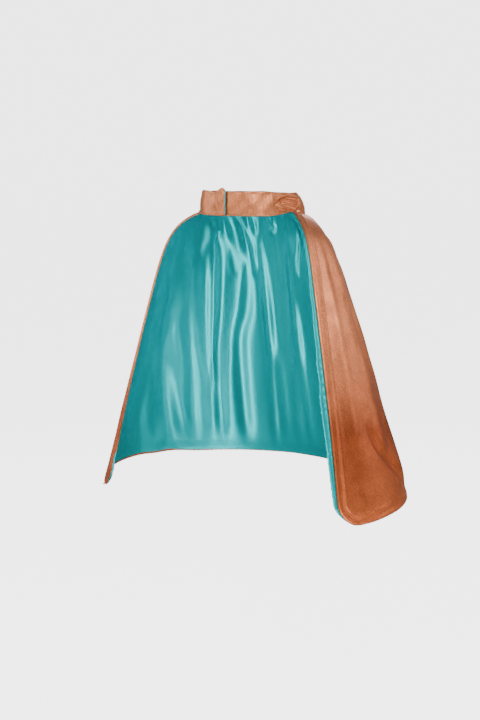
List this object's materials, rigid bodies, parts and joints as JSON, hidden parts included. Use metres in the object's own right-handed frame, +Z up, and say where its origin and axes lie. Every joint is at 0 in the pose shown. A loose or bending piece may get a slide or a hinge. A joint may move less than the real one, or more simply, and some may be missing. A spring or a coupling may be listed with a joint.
{
  "type": "superhero cape",
  "caption": "Child's lined superhero cape: metallic outer cloth and satin lining gathered into a stand-up neckband that closes at the front with hook-and-loop tape.",
  "frame": {"origin": "middle of the neck opening, level with the seam between the neckband and the cape", "axes": "+Z up, wearer faces -Y, +X towards the wearer's left"},
  "size_m": [0.4208, 0.2672, 0.384],
  "materials": {
    "copper_lame": "copper metallic knit with a fine grain, soft sheen",
    "rose_lame": "the same metallic knit, stretched smooth over the stiffened band, paler",
    "teal_satin": "glossy satin with long soft highlights",
    "stiffener": "matt white non-woven",
    "hook_and_loop": "matt brushed loops and short hooks"
  },
  "bodies": {
    "back": {"shell_back": "copper_lame", "lining_back": "teal_satin", "neckband_back_facing": "teal_satin", "neckband_back_interfacing": "stiffener", "neckband_back_outer": "rose_lame", "neck_seam_allowance": "teal_satin", "oval_patch_cover": "rose_lame", "oval_patch_wadding": "stiffener"},
    "band_right": {"neckband_right_facing": "teal_satin", "neckband_right_interfacing": "stiffener", "neckband_right_outer": "rose_lame"},
    "band_tab": {"neckband_tab_facing": "teal_satin", "neckband_tab_interfacing": "stiffener", "neckband_tab_outer": "rose_lame", "hook_tape": "hook_and_loop"},
    "band_left": {"neckband_left_facing": "teal_satin", "neckband_left_interfacing": "stiffener", "neckband_left_outer": "rose_lame", "loop_tape": "hook_and_loop"},
    "front_left": {"shell_left_front": "copper_lame", "lining_left_front": "teal_satin"},
    "front_right": {"shell_right_front": "copper_lame", "lining_right_front": "teal_satin"}
  },
  "joints": [
    {"name": "right_band_swing", "type": "hinge", "parent": "back", "child": "band_right", "pos_m": [-0.05652, -0.03386, 0], "axis": [0, 0, -1], "range_deg": [0, 80], "stiffness_Nm_per_rad": 0.02},
    {"name": "tab_peel", "type": "hinge", "parent": "band_right", "child": "band_tab", "pos_m": [-0.03568, -0.05694, 0], "axis": [0, 0, -1], "range_deg": [0, 110], "stiffness_Nm_per_rad": 0.02},
    {"name": "left_band_swing", "type": "hinge", "parent": "back", "child": "band_left", "pos_m": [0.049, -0.04201, 0], "axis": [0, 0, 1], "range_deg": [0, 24], "stiffness_Nm_per_rad": 0.02},
    {"name": "left_front_swing", "type": "hinge", "parent": "back", "child": "front_left", "pos_m": [0.11469, 0, -0.06], "axis": [-0.3063, 0, 0.9519], "range_deg": [-15, 50], "stiffness_Nm_per_rad": 0.04},
    {"name": "right_front_swing", "type": "hinge", "parent": "back", "child": "front_right", "pos_m": [-0.11469, 0, -0.06], "axis": [-0.3063, 0, -0.9519], "range_deg": [-15, 50], "stiffness_Nm_per_rad": 0.04}
  ],
  "couplings": [
    {"joint": "left_band_swing", "follows": "right_band_swing", "ratio": 0.3}
  ]
}
